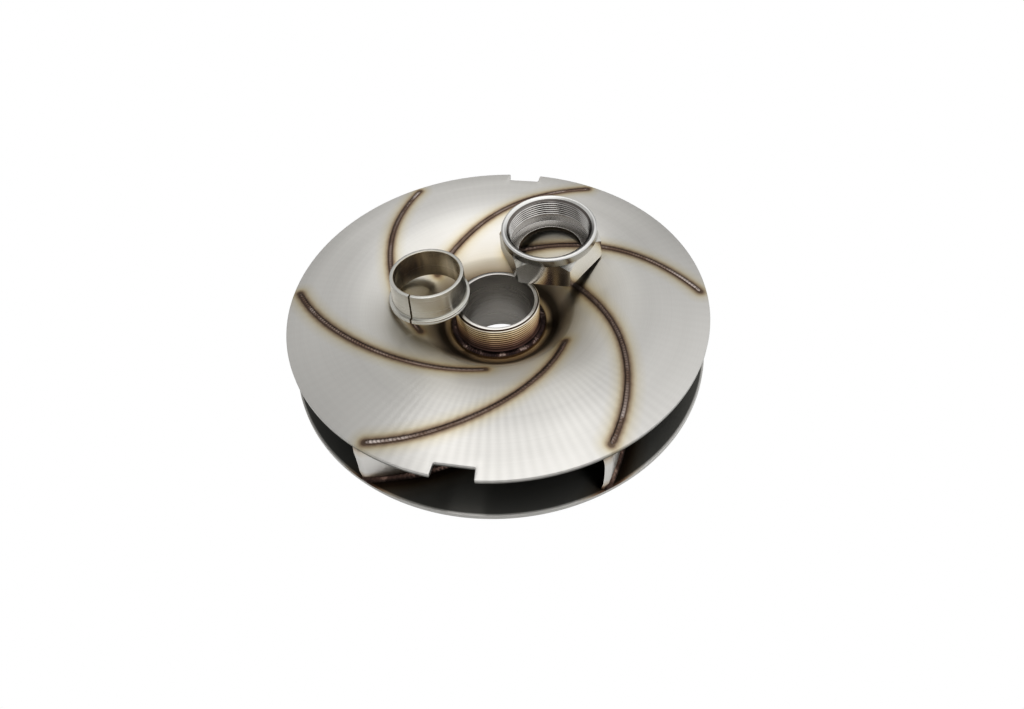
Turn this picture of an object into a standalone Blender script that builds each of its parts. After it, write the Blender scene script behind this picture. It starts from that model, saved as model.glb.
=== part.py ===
# Fabricated pump impeller, lying on its suction neck with the back shroud on top.
# Metres, +Z up along the impeller's axis, origin at the centre of the neck's resting ring.
# A split cone and its clamp nut lie loose on the back shroud.
from math import acos, atan2, cos, pi, radians, sin, sqrt

import bmesh
import bpy
from mathutils import Matrix, Vector

GAP = 0.0003                    # clearance between neighbouring pieces

# Shrouds
SHEET = 0.0025                  # sheet thickness of both shrouds
BACK_RADIUS = 0.1080
FRONT_RADIUS = 0.1086
RIM_DEPTH = 0.0295              # back shroud's top down to the front rim's underside
NECK_DROP = 0.0185              # front rim's underside down to the neck's resting ring
NECK_BORE = 0.0560
NECK_BEND = 0.0120              # bend radius under the front shroud, at its neck
TOP = RIM_DEPTH + NECK_DROP     # height of the back shroud's flat rim

# Back shroud's dish, as depths below the flat rim
DISH_START = 0.0888             # radius where the plate begins to dip
DISH_CURVE = 4.68               # depth grows with this times the square of the distance, 1/m
WALL_START = 0.0400             # radius where the steep wall begins
FLOOR_START = 0.0285            # radius where the dish's floor begins
FLOOR_DEPTH = 0.0223
HUB_HOLE = 0.0233

# Balance notches in the back shroud's rim, on the Y axis
NOTCH_HALF_ANGLE = radians(5.0)
NOTCH_RADIUS = 0.1020

# Vanes: circular arcs in plan
VANE_COUNT = 6
VANE_SHEET = 0.0020
VANE_ARC = 0.0990               # radius of the vane's arc
VANE_CENTRE = (0.0231, -0.0541) # arc's centre, for a vane whose tip points along +X
VANE_TIP_TURN = radians(6.1)    # turns the first vane's tip off +X
VANE_TIP_RADIUS = 0.1079
VANE_ROOT_RADIUS = 0.0440       # inner end along the back shroud
VANE_FOOT_RADIUS = 0.0680       # inner end along the front shroud
VANE_STATIONS = 16
FLUSH_RADIUS = 0.1060           # sections past this radius follow the turned rim

# Welds
SEAM_WIDTH = 0.0026
SEAM_HEIGHT = 0.0005
SEAM_OUTER = 0.1046
SEAM_INNER = 0.0430
FOOT_LEG = 0.0024
FOOT_OUTER = 0.1076
FOOT_INNER = 0.0720
HUB_WELD_OUTER = 0.0256
HUB_WELD_HEIGHT = 0.0018

# Hub sleeve
HUB_TOP_DEPTH = 0.0052          # end face below the flat rim
HUB_THREAD = 0.0225             # crest radius of the thread
HUB_FACE = 0.0217               # outer radius of the end face
HUB_BODY = 0.0230
HUB_MOUTH = 0.0197              # bore radius at the top
HUB_BORE = 0.0178               # bore radius at the bottom
HUB_TAPER = 0.0200              # length of the tapered seat
HUB_LENGTH = 0.0378

# Threads, drawn as rings of crests and roots
PITCH = 0.0015
THREAD_DEPTH = 0.0008
HUB_TURNS = 9
NUT_TURNS = 6

# Split cone, standing on its flange over the hub's edge and the dish
CONE_PLACE = (-0.0354, -0.0031)
CONE_LIFT = 0.0442
CONE_LEAN = (-0.008, 0.017)
CONE_HEIGHT = 0.0169
CONE_TOP = 0.0192
CONE_FOOT = 0.0198
CONE_FLANGE = 0.0214
CONE_FLANGE_HEIGHT = 0.0026
CONE_BORE = 0.0172
CONE_SLIT = 0.0010
CONE_SLIT_TURN = radians(-103.0)

# Clamp nut, collar up, leaning on the hub's edge
NUT_PLACE = (0.0239, 0.0383)
NUT_LIFT = 0.0452
NUT_LEAN = (-0.028, -0.081)
NUT_TURN = radians(-1.5)
NUT_HEIGHT = 0.0202
NUT_COLLAR = 0.0260
NUT_COLLAR_HEIGHT = 0.0050
NUT_EDGE = 0.0008               # chamfer round the collar's end
NUT_FLATS = 0.0492
NUT_CONE_HEIGHT = 0.0040        # turned cone from the collar down to the hexagon's corners
NUT_FOOT_CHAMFER = 0.0008
NUT_MOUTH = 0.0243              # wide lead-in, then the thread's own chamfer
NUT_LEAD = 0.0232
NUT_LEAD_DEPTH = 0.0007
NUT_THREAD = 0.0216             # crest radius of the inner thread
NUT_RELIEF = 0.0229
NUT_RELIEF_TOP = 0.0091
NUT_LIP = 0.0176
NUT_LIP_HEIGHT = 0.0030

FINE = 72                       # facets round the shrouds
ROUND = 48                      # facets round the hub, cone and nut


def material(name, colour, roughness):
    steel = bpy.data.materials.new(name)
    steel.use_nodes = True
    shader = steel.node_tree.nodes["Principled BSDF"]
    shader.inputs["Base Color"].default_value = (*colour, 1.0)
    shader.inputs["Roughness"].default_value = roughness
    shader.inputs["Metallic"].default_value = 1.0
    return steel


def add_piece(bm, name, colour, roughness):
    bmesh.ops.remove_doubles(bm, verts=bm.verts, dist=0.000001)
    bmesh.ops.recalc_face_normals(bm, faces=bm.faces)
    mesh = bpy.data.meshes.new(name)
    bm.to_mesh(mesh)
    bm.free()
    mesh.shade_smooth()
    mesh.set_sharp_from_angle(angle=radians(35.0))
    piece = bpy.data.objects.new(name, mesh)
    piece.data.materials.append(material(name + "_finish", colour, roughness))
    bpy.context.collection.objects.link(piece)
    return piece


def spin_profile(profile, steps, start=0.0, sweep=2.0 * pi):
    """Spin a closed profile of (radius, height) points about Z; a part turn gets end faces."""
    bm = bmesh.new()
    ring = [bm.verts.new((r * cos(start), r * sin(start), z)) for r, z in profile]
    edges = [bm.edges.new((ring[i - 1], ring[i])) for i in range(len(ring))]
    whole = sweep > 2.0 * pi - 0.001
    spun = bmesh.ops.spin(
        bm, geom=ring + edges, cent=(0, 0, 0), axis=(0, 0, 1), dvec=(0, 0, 0),
        angle=sweep, steps=steps, use_merge=whole, use_duplicate=False)
    if not whole:
        last = [e for e in spun["geom_last"] if isinstance(e, bmesh.types.BMEdge)]
        bmesh.ops.contextual_create(bm, geom=edges)
        bmesh.ops.contextual_create(bm, geom=last)
    return bm


def sweep_sections(sections):
    """Join closed rings of points, one after the other, and close both ends."""
    bm = bmesh.new()
    rings = [[bm.verts.new(p) for p in section] for section in sections]
    count = len(rings[0])
    for near, far in zip(rings, rings[1:]):
        for i in range(count):
            bm.faces.new((near[i - 1], near[i], far[i], far[i - 1]))
    bm.faces.new(rings[0])
    bm.faces.new(list(reversed(rings[-1])))
    return bm


def cut(piece, cutter):
    cutter.hide_render = True
    cutter.display_type = "WIRE"
    boolean = piece.modifiers.new("cut_" + cutter.name, "BOOLEAN")
    boolean.operation = "DIFFERENCE"
    boolean.solver = "EXACT"
    boolean.object = cutter


def stand(piece, place, lift, lean, turn=0.0):
    """Set a loose piece down, its axis leaning by lean = (x, y) per unit of height."""
    tilt = Vector((0, 0, 1)).rotation_difference(Vector((lean[0], lean[1], 1.0)))
    piece.rotation_mode = "QUATERNION"
    piece.rotation_quaternion = tilt @ Matrix.Rotation(turn, 3, "Z").to_quaternion()
    piece.location = (place[0], place[1], lift)


def steps_between(first, last, count):
    return [first + (last - first) * i / count for i in range(count + 1)]


def dish_depth(r):
    """Depth of the back shroud's top surface below its flat rim."""
    if r >= DISH_START:
        return 0.0
    if r >= WALL_START:
        return DISH_CURVE * (DISH_START - r) ** 2
    if r >= FLOOR_START:
        wall_top = DISH_CURVE * (DISH_START - WALL_START) ** 2
        share = (WALL_START - r) / (WALL_START - FLOOR_START)
        return wall_top + (FLOOR_DEPTH - wall_top) * share
    return FLOOR_DEPTH


def offset_profile(points, distance):
    """Points moved to the right of the way they run, by distance, along their mean normals."""
    moved = []
    for i, (r, z) in enumerate(points):
        before = Vector(points[i]) - Vector(points[i - 1]) if i > 0 else None
        after = Vector(points[i + 1]) - Vector(points[i]) if i < len(points) - 1 else None
        ways = [way.normalized() for way in (before, after) if way is not None]
        mean = sum(ways, Vector((0.0, 0.0))).normalized()
        reach = distance / max(0.5, mean.dot(ways[0]))
        moved.append((r + mean.y * reach, z - mean.x * reach))
    return moved


def back_shroud():
    radii = [BACK_RADIUS] + steps_between(DISH_START, WALL_START, 6) + [FLOOR_START, HUB_HOLE]
    upper = [(r, TOP - dish_depth(r)) for r in radii]
    lower = offset_profile(upper, -SHEET)
    lower[0] = (BACK_RADIUS, TOP - SHEET)
    lower[-1] = (HUB_HOLE, TOP - FLOOR_DEPTH - SHEET)
    half_facet = pi / FINE
    bm = spin_profile(upper + lower[::-1], FINE, start=half_facet)
    plate = add_piece(bm, "back_shroud", (0.62, 0.61, 0.59), 0.32)
    cut(plate, notch_cutter())


def notch_cutter():
    bm = bmesh.new()
    for side in (-1, 1):
        corners = []
        for radius in (NOTCH_RADIUS, BACK_RADIUS + SHEET):
            for turn in (-NOTCH_HALF_ANGLE, NOTCH_HALF_ANGLE):
                angle = side * pi / 2 + turn
                corners.append((radius * cos(angle), radius * sin(angle)))
        outline = [corners[0], corners[2], corners[3], corners[1]]
        base = bm.faces.new([bm.verts.new((x, y, TOP - 2 * SHEET)) for x, y in outline])
        raised = bmesh.ops.extrude_face_region(bm, geom=[base])
        top = [v for v in raised["geom"] if isinstance(v, bmesh.types.BMVert)]
        bmesh.ops.translate(bm, verts=top, vec=(0, 0, 3 * SHEET))
    return add_piece(bm, "notch_cutter", (0.5, 0.5, 0.5), 0.5)


def front_face_height():
    """Height of the front shroud's inner face, where it is flat."""
    return TOP - RIM_DEPTH + SHEET


def neck_arc(radius):
    """Quarter turn from the flat plate down into the neck, about the bend's centre."""
    centre = (NECK_BORE + SHEET + NECK_BEND, front_face_height() - SHEET - NECK_BEND)
    angles = steps_between(pi / 2, pi, 5)
    return [(centre[0] + radius * cos(a), centre[1] + radius * sin(a)) for a in angles]


def front_shroud():
    inner = [(FRONT_RADIUS, front_face_height())] + neck_arc(NECK_BEND + SHEET) + [(NECK_BORE, 0.0)]
    outer = [(NECK_BORE + SHEET, 0.0)] + neck_arc(NECK_BEND)[::-1]
    outer.append((FRONT_RADIUS, front_face_height() - SHEET))
    bm = spin_profile(inner + outer, FINE, start=pi / FINE)
    add_piece(bm, "front_shroud", (0.56, 0.56, 0.55), 0.34)


def vane_point(r, side, turn):
    """Plan point of a vane where its centreline has radius r, side metres off that line."""
    reach = sqrt(VANE_CENTRE[0] ** 2 + VANE_CENTRE[1] ** 2)
    bearing = atan2(VANE_CENTRE[1], VANE_CENTRE[0])
    line = VANE_ARC + side if r > FLUSH_RADIUS else VANE_ARC
    swing = acos((r * r - reach * reach - line ** 2) / (2 * reach * line))
    angle = bearing + swing + turn
    x = reach * cos(bearing + turn) + (VANE_ARC + side) * cos(angle)
    y = reach * sin(bearing + turn) + (VANE_ARC + side) * sin(angle)
    return x, y


def along_vane(r_outer, r_inner, count, turn, outline):
    """Sections along a vane; outline(r) lists corners as (side, surface, rise above it)."""
    sections = []
    for r in steps_between(r_outer, r_inner, count):
        ring = []
        for side, surface, rise in outline(r):
            x, y = vane_point(r, side, turn)
            ring.append((x, y, surface(sqrt(x * x + y * y)) + rise))
        sections.append(ring)
    return sections


def back_face(r):
    return TOP - dish_depth(r)


def back_underside(r):
    slope = 2 * DISH_CURVE * max(0.0, DISH_START - r)
    return back_face(r) - SHEET * sqrt(1 + slope * slope)


def front_face(r):
    return front_face_height()


def vane_outline(r):
    half = VANE_SHEET / 2
    foot = GAP
    if r < VANE_FOOT_RADIUS:
        root = back_underside(VANE_ROOT_RADIUS) - SHEET
        share = (VANE_FOOT_RADIUS - r) / (VANE_FOOT_RADIUS - VANE_ROOT_RADIUS)
        foot += (root - front_face_height()) * share
    return [
        (-half, front_face, foot), (half, front_face, foot),
        (half, back_underside, -1.5 * GAP), (-half, back_underside, -1.5 * GAP)]


def seam_outline(r):
    half = SEAM_WIDTH / 2
    shape = [(-1.0, 0.0), (-0.8, 0.7), (0.0, 1.0), (0.8, 0.7), (1.0, 0.0)]
    return [(half * side, back_face, GAP + SEAM_HEIGHT * rise) for side, rise in shape]


def foot_outline(r):
    corner = VANE_SHEET / 2 + GAP
    return [
        (corner, front_face, GAP), (corner + FOOT_LEG, front_face, GAP),
        (corner, front_face, GAP + FOOT_LEG)]


def vanes_and_welds():
    for i in range(VANE_COUNT):
        turn = VANE_TIP_TURN + 2 * pi * i / VANE_COUNT
        number = str(i + 1)
        bm = sweep_sections(
            along_vane(VANE_TIP_RADIUS, VANE_ROOT_RADIUS, VANE_STATIONS, turn, vane_outline))
        add_piece(bm, "vane_" + number, (0.55, 0.54, 0.52), 0.36)
        bm = sweep_sections(along_vane(SEAM_OUTER, SEAM_INNER, VANE_STATIONS, turn, seam_outline))
        add_piece(bm, "back_seam_" + number, (0.16, 0.12, 0.10), 0.45)
        bm = sweep_sections(along_vane(FOOT_OUTER, FOOT_INNER, 8, turn, foot_outline))
        add_piece(bm, "foot_weld_" + number, (0.20, 0.15, 0.12), 0.45)


def thread_rings(crest, root, top, turns):
    """Zigzag of crests and roots, one pair to a turn, going down from top."""
    points = []
    for turn in range(turns):
        height = top - turn * PITCH
        points += [(crest, height), (root, height - PITCH / 2)]
    points.append((crest, top - turns * PITCH))
    return points


def hub_sleeve():
    face = TOP - HUB_TOP_DEPTH
    foot = face - HUB_LENGTH
    thread_top = face - (HUB_THREAD - HUB_FACE)
    thread_foot = thread_top - HUB_TURNS * PITCH
    profile = [(HUB_MOUTH, face), (HUB_FACE, face)]
    profile += thread_rings(HUB_THREAD, HUB_THREAD - THREAD_DEPTH, thread_top, HUB_TURNS)
    profile += [
        (HUB_BODY, thread_foot - GAP), (HUB_BODY, foot), (HUB_BORE, foot),
        (HUB_BORE, face - HUB_TAPER)]
    add_piece(spin_profile(profile, ROUND), "hub_sleeve", (0.52, 0.48, 0.42), 0.30)


def hub_weld():
    base = TOP - FLOOR_DEPTH + GAP
    inner = HUB_BODY + GAP
    width = HUB_WELD_OUTER - inner
    shape = [(0.0, 0.0), (1.0, 0.0), (0.95, 0.45), (0.6, 0.8), (0.0, 1.0)]
    profile = [(inner + width * out, base + HUB_WELD_HEIGHT * up) for out, up in shape]
    add_piece(spin_profile(profile, ROUND), "hub_weld", (0.20, 0.15, 0.13), 0.40)


def split_cone():
    profile = [
        (CONE_BORE, 0.0), (CONE_FLANGE, 0.0), (CONE_FLANGE, CONE_FLANGE_HEIGHT),
        (CONE_FOOT, CONE_FLANGE_HEIGHT), (CONE_TOP, CONE_HEIGHT), (CONE_BORE, CONE_HEIGHT)]
    slit = CONE_SLIT / CONE_FOOT
    bm = spin_profile(profile, ROUND, start=CONE_SLIT_TURN + slit / 2, sweep=2 * pi - slit)
    cone = add_piece(bm, "split_cone", (0.50, 0.49, 0.45), 0.28)
    stand(cone, CONE_PLACE, CONE_LIFT, CONE_LEAN)


def clamp_nut():
    corner = NUT_FLATS / sqrt(3)
    shoulder = NUT_HEIGHT - NUT_COLLAR_HEIGHT
    thread_root = NUT_THREAD + THREAD_DEPTH
    thread_top = NUT_HEIGHT - NUT_LEAD_DEPTH - (NUT_LEAD - NUT_THREAD)
    profile = [
        (NUT_LIP, 0.0), (corner - NUT_FOOT_CHAMFER, 0.0), (corner, NUT_FOOT_CHAMFER),
        (corner, shoulder - NUT_CONE_HEIGHT), (NUT_COLLAR, shoulder),
        (NUT_COLLAR, NUT_HEIGHT - NUT_EDGE), (NUT_COLLAR - NUT_EDGE, NUT_HEIGHT),
        (NUT_MOUTH, NUT_HEIGHT), (NUT_LEAD, NUT_HEIGHT - NUT_LEAD_DEPTH)]
    profile += thread_rings(NUT_THREAD, thread_root, thread_top, NUT_TURNS)
    profile += [
        (NUT_RELIEF, NUT_RELIEF_TOP), (NUT_RELIEF, NUT_LIP_HEIGHT), (NUT_LIP, NUT_LIP_HEIGHT)]
    bm = spin_profile(profile, ROUND, start=pi / ROUND)
    nut = add_piece(bm, "clamp_nut", (0.58, 0.57, 0.55), 0.22)
    cutter = hexagon_cutter(shoulder)
    cutter.parent = nut
    cut(nut, cutter)
    stand(nut, NUT_PLACE, NUT_LIFT, NUT_LEAN, NUT_TURN)


def hexagon_cutter(height):
    """Ring round the nut whose hexagonal hole leaves the six flats."""
    hole = NUT_FLATS / sqrt(3)
    rim = 2 * hole
    profile = [(hole, -SHEET), (rim, -SHEET), (rim, height), (hole, height)]
    return add_piece(spin_profile(profile, 6), "hexagon_cutter", (0.5, 0.5, 0.5), 0.5)


def main():
    for old in list(bpy.data.objects):
        bpy.data.objects.remove(old, do_unlink=True)
    back_shroud()
    front_shroud()
    vanes_and_welds()
    hub_sleeve()
    hub_weld()
    split_cone()
    clamp_nut()


main()
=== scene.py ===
# Welded pump impeller lying on its suction neck, split cone and clamp nut loose on top.
# Metres, in the model's own frame: +Z up along the axis, origin under the suction neck.
from math import acos, atan2, cos, hypot, pi, radians, sin, sqrt

import bmesh
import bpy
import numpy as np
from mathutils import Matrix, Vector, noise


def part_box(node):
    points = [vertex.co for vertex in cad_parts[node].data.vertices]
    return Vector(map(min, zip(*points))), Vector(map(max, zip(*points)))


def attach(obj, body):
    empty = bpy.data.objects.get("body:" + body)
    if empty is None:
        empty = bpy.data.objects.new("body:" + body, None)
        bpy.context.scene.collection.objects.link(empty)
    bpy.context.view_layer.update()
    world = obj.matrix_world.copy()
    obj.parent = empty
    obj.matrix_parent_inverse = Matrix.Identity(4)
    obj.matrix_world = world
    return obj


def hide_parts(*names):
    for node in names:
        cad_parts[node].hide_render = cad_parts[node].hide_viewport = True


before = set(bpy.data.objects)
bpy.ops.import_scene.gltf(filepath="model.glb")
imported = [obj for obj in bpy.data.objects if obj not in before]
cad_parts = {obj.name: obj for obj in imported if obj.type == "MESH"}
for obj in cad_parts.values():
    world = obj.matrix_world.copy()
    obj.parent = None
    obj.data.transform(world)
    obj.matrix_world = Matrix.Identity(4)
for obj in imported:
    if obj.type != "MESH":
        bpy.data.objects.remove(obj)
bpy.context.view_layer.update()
mm = 0.001


# Camera, at the photograph's viewing angle
camera = {
    "place": (0.05815, -0.25438, 0.30207),
    "azimuth": radians(11.96), "elevation": radians(39.49), "roll": radians(-3.67),
    "lens": 24.43, "sensor": 36.0,
    "shift": (0.0110, -0.1172),
}


def addCamera():
    lens = bpy.data.cameras.new("camera")
    lens.lens = camera["lens"]
    lens.sensor_width = camera["sensor"]
    lens.shift_x, lens.shift_y = camera["shift"]
    lens.clip_start = 0.01
    eye = bpy.data.objects.new("camera", lens)
    bpy.context.collection.objects.link(eye)
    turn = Matrix.Rotation(camera["azimuth"], 4, "Z")
    tip = Matrix.Rotation(pi / 2 - camera["elevation"], 4, "X")
    roll = Matrix.Rotation(camera["roll"], 4, "Z")
    eye.matrix_world = Matrix.Translation(camera["place"]) @ turn @ tip @ roll
    bpy.context.scene.camera = eye


addCamera()
print("camera set")


# Shader maths: a Wire is one output socket, a Graph is one node tree, a Paint is a material's
class Wire:
    def __init__(self, paint, socket):
        self.paint = paint
        self.socket = socket

    def __add__(self, other):
        return self.paint.maths("ADD", self, other)

    def __radd__(self, other):
        return self.paint.maths("ADD", other, self)

    def __sub__(self, other):
        return self.paint.maths("SUBTRACT", self, other)

    def __rsub__(self, other):
        return self.paint.maths("SUBTRACT", other, self)

    def __mul__(self, other):
        return self.paint.maths("MULTIPLY", self, other)

    def __rmul__(self, other):
        return self.paint.maths("MULTIPLY", other, self)

    def __truediv__(self, other):
        return self.paint.maths("DIVIDE", self, other)

    def __rtruediv__(self, other):
        return self.paint.maths("DIVIDE", other, self)

    def __neg__(self):
        return self.paint.maths("MULTIPLY", self, -1.0)

    def __abs__(self):
        return self.paint.maths("ABSOLUTE", self)


class Graph:
    def __init__(self, tree):
        self.tree = tree

    def node(self, kind, settings=None, sockets=None, out=0):
        made = self.tree.nodes.new("ShaderNode" + kind)
        for key, value in (settings or {}).items():
            if key == "stops":
                self.setStops(made.color_ramp, value)
            else:
                setattr(made, key, value)
        for key, value in (sockets or {}).items():
            self.plug(made.inputs[key], value)
        return Wire(self, made.outputs[out])

    def plug(self, socket, value):
        if isinstance(value, Wire):
            self.tree.links.new(value.socket, socket)
        else:
            socket.default_value = value

    def setStops(self, ramp, stops):
        ramp.interpolation = "LINEAR"
        while len(ramp.elements) < len(stops):
            ramp.elements.new(1.0)
        for element, (place, colour) in zip(ramp.elements, stops):
            element.position = place
            element.color = (*colour, 1.0)

    def maths(self, operation, *values):
        return self.node("Math", {"operation": operation}, dict(enumerate(values)))

    def place(self, stand=None):                  # stand is where a loose piece's own frame lies
        spot = self.node("TexCoord", out="Object")
        if stand:
            spot = self.node("Mapping", {"vector_type": "TEXTURE"}, {
                "Vector": spot, "Location": stand.to_translation(), "Rotation": stand.to_euler()})
        return self.split(spot)

    def split(self, vector):
        parts = self.node("SeparateXYZ", None, {0: vector})
        return [Wire(self, parts.socket.node.outputs[i]) for i in range(3)]

    def vector(self, x, y, z):
        return self.node("CombineXYZ", None, {0: x, 1: y, 2: z})

    def noise(self, vector, scale=1.0, detail=2.0, roughness=0.5):
        return self.node("TexNoise", {"noise_dimensions": "3D"}, {
            "Vector": vector, "Scale": scale, "Detail": detail, "Roughness": roughness})

    def rise(self, value, low, high):             # 0 below low, 1 above high, smooth between
        return self.node("MapRange", {"interpolation_type": "SMOOTHSTEP"}, {
            "Value": value, "From Min": low, "From Max": high})

    def ramp(self, value, stops):                 # stops are (value, colour)
        low, high = stops[0][0], stops[-1][0]
        scaled = [((at - low) / (high - low), colour) for at, colour in stops]
        return self.node("ValToRGB", {"stops": scaled}, {0: (value - low) / (high - low)})

    def blend(self, share, first, second, kind="MIX"):
        settings = {"data_type": "RGBA", "blend_type": kind, "clamp_factor": True}
        sockets = {0: share, 6: self.colour(first), 7: self.colour(second)}
        return self.node("Mix", settings, sockets, out=2)

    def colour(self, value):
        return value if isinstance(value, Wire) else (*value, 1.0)

    def grey(self, value):                        # a number as a colour
        return self.node("CombineColor", None, {0: value, 1: value, 2: value})


class Paint(Graph):
    def __init__(self, name, **fixed):
        self.finish = bpy.data.materials.new(name)
        self.finish.use_nodes = True
        super().__init__(self.finish.node_tree)
        self.shader = self.tree.nodes["Principled BSDF"]
        for socket, value in fixed.items():
            self.shader.inputs[socket.replace("_", " ")].default_value = value

    def bump(self, height, depth, strength=1.0):
        normal = self.node("Bump", None, {"Height": height, "Distance": depth, "Strength": strength})
        self.plug(self.shader.inputs["Normal"], normal)

    def use(self, socket, value):
        self.plug(self.shader.inputs[socket], value)

    def coat(self, base, shade, roughness, height, depth, strength):
        self.use("Base Color", self.blend(1.0, base, self.grey(shade), "MULTIPLY"))
        self.use("Roughness", roughness)
        self.bump(height, depth, strength)
        return self.finish


# World, lamps and floor
studio = {
    "sky": ((0.0, 0.66), (0.42, 0.80), (0.70, 0.97), (0.87, 1.18), (1.0, 1.44)),   # height of view, level
    "sideTilt": 0.26,                             # right side lighter, left side darker
    "shades": (                                   # side, share toward it, height where it ends, level kept
        ("front", (0.72, 0.95), (0.36, 0.60), 0.08), ("back", (0.46, 0.88), (0.31, 0.79), 0.16)),
    "flag": ((0.24, 0.40), (0.58, 0.76), 0.50),   # dark card to the left: share, height, level kept
    "tone": ((0.0, 0.0), (0.05, 0.030), (0.13, 0.104), (0.30, 0.292), (0.55, 0.565), (1.0, 1.0)),
    "lampHeight": 0.50, "lampTint": (1.0, 0.985, 0.96),
    "lamps": (                                    # sideways, back, width, depth, brightness
        (0.0, 0.075, 0.24, 0.29, 0.75), (-0.09, 0.225, 0.06, 0.15, 3.0), (0.09, 0.225, 0.06, 0.15, 1.7)),
    "floorSize": 8.0, "floorGrey": 0.85, "floorRoughness": 0.9, "floorGlow": 1.0,
}


def addStudio():
    world = bpy.data.worlds.new("studio")
    bpy.context.scene.world = world
    world.use_nodes = True
    sky = Graph(world.node_tree)
    x, y, z = sky.split(sky.node("TexCoord", out="Generated"))
    level = sky.ramp(z, [(at, (tone, tone, tone)) for at, tone in studio["sky"]])
    ahead = x * sin(camera["azimuth"]) - y * cos(camera["azimuth"])      # share toward the open front
    across = x * cos(camera["azimuth"]) + y * sin(camera["azimuth"])
    level = level * (1.0 + across * studio["sideTilt"])
    for side, width, height, kept in studio["shades"]:
        shade = sky.rise(ahead if side == "front" else -ahead, *width) * (1.0 - sky.rise(z, *height))
        level = level * (1.0 - shade * (1.0 - kept))
    width, height, kept = studio["flag"]
    level = level * (1.0 - sky.rise(-across, *width) * sky.rise(z, *height) * (1.0 - kept))
    seen = sky.node("LightPath")                  # plain white to the eye
    white = (1.0, 1.0, 1.0)
    sky.plug(world.node_tree.nodes["Background"].inputs["Color"], sky.blend(seen, sky.grey(level), white))

    turn = Matrix.Rotation(camera["azimuth"], 4, "Z")
    for i, (sideways, back, width, depth, brightness) in enumerate(studio["lamps"]):
        light = bpy.data.lights.new("lamp_%d" % i, "AREA")
        light.shape = "RECTANGLE"
        light.size = width
        light.size_y = depth
        light.energy = brightness * pi * width * depth
        light.color = studio["lampTint"]
        lamp = bpy.data.objects.new("lamp_%d" % i, light)
        bpy.context.collection.objects.link(lamp)
        lamp.matrix_world = turn @ Matrix.Translation((sideways, back, studio["lampHeight"]))

    half = studio["floorSize"] / 2
    mesh = bpy.data.meshes.new("floor")
    corners = [(-half, -half, 0), (half, -half, 0), (half, half, 0), (-half, half, 0)]
    mesh.from_pydata(corners, [], [(0, 1, 2, 3)])
    floor = bpy.data.objects.new("floor", mesh)
    bpy.context.collection.objects.link(floor)
    grey = studio["floorGrey"]
    paper = Paint("floor_paper", Base_Color=(grey, grey, grey, 1.0), Roughness=studio["floorRoughness"])
    glow = paper.node("Emission", None, {"Strength": studio["floorGlow"]})
    seen = paper.node("LightPath")                # shadeless to the eye, plain paper to the steel
    sheet = paper.node("MixShader", None, {0: seen, 1: Wire(paper, paper.shader.outputs[0]), 2: glow})
    paper.plug(paper.tree.nodes["Material Output"].inputs["Surface"], sheet)
    mesh.materials.append(paper.finish)
    view = bpy.context.scene.view_settings
    view.view_transform = "Standard"
    view.use_curve_mapping = True                 # a print-like toe, so the darks stay dark
    curve = view.curve_mapping.curves[3]
    for at, to in studio["tone"][1:-1]:
        curve.points.new(at, to)
    view.curve_mapping.update()


addStudio()
print("studio set")


# Impeller's main sizes, the same as the solids
impeller = {
    "sheet": 2.5 * mm, "backRadius": 108.0 * mm, "frontRadius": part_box("front_shroud")[1].x,
    "rimDepth": 29.5 * mm, "top": 48.0 * mm,
    "dishStart": 88.8 * mm, "dishCurve": 4.68,    # depth is dishCurve times the square of the way in
    "wallStart": 40.0 * mm, "floorStart": 28.5 * mm,
    "floorDepth": 22.3 * mm, "hubHole": 23.3 * mm,
    "vanes": 6, "vaneArc": 99.0 * mm, "vaneCentre": (23.1 * mm, -54.1 * mm),
    "tipTurn": radians(6.1),
}
frontFace = impeller["top"] - impeller["rimDepth"] + impeller["sheet"]
arcReach = hypot(*impeller["vaneCentre"])
arcBearing = atan2(impeller["vaneCentre"][1], impeller["vaneCentre"][0])


def dishDepth(r):                                 # back shroud's top below its flat rim
    if r >= impeller["dishStart"]:
        return 0.0
    if r >= impeller["wallStart"]:
        return impeller["dishCurve"] * (impeller["dishStart"] - r) ** 2
    wallTop = impeller["dishCurve"] * (impeller["dishStart"] - impeller["wallStart"]) ** 2
    share = (impeller["wallStart"] - r) / (impeller["wallStart"] - impeller["floorStart"])
    return wallTop + (impeller["floorDepth"] - wallTop) * min(1.0, share)


def backFace(r):
    return impeller["top"] - dishDepth(r)


def backUnderside(r):
    slope = 2 * impeller["dishCurve"] * max(0.0, impeller["dishStart"] - r)
    return backFace(r) - impeller["sheet"] * sqrt(1 + slope * slope)


def arcAngle(r):                                  # bearing from a vane arc's own centre
    return acos((r * r - arcReach ** 2 - impeller["vaneArc"] ** 2) / (2 * arcReach * impeller["vaneArc"]))


def vanePlan(r, side, turn):                      # point beside a vane's centreline, side metres off it
    angle = arcBearing + arcAngle(r) + turn
    x = arcReach * cos(arcBearing + turn) + (impeller["vaneArc"] + side) * cos(angle)
    y = arcReach * sin(arcBearing + turn) + (impeller["vaneArc"] + side) * sin(angle)
    return x, y


def vaneTurn(i):
    return impeller["tipTurn"] + 2 * pi * i / impeller["vanes"]


# Mesh helpers
def spread(low, high, count):
    return [low + (high - low) * i / count for i in range(count + 1)]


def softened(corners, steps=4):
    # Closed outline of (a, b, radius); each corner with a radius becomes a short curve
    soft = []
    for i, (a, b, radius) in enumerate(corners):
        if radius == 0:
            soft.append((a, b))
            continue
        here = Vector((a, b))
        ways = []
        for other in (corners[i - 1], corners[(i + 1) % len(corners)]):
            way = Vector(other[:2]) - here
            ways.append(way.normalized() * min(radius, 0.48 * way.length))
        for t in spread(0.0, 1.0, steps):
            point = here + ways[0] * (1 - t) ** 2 + ways[1] * t ** 2
            soft.append((point.x, point.y))
    return soft


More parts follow.
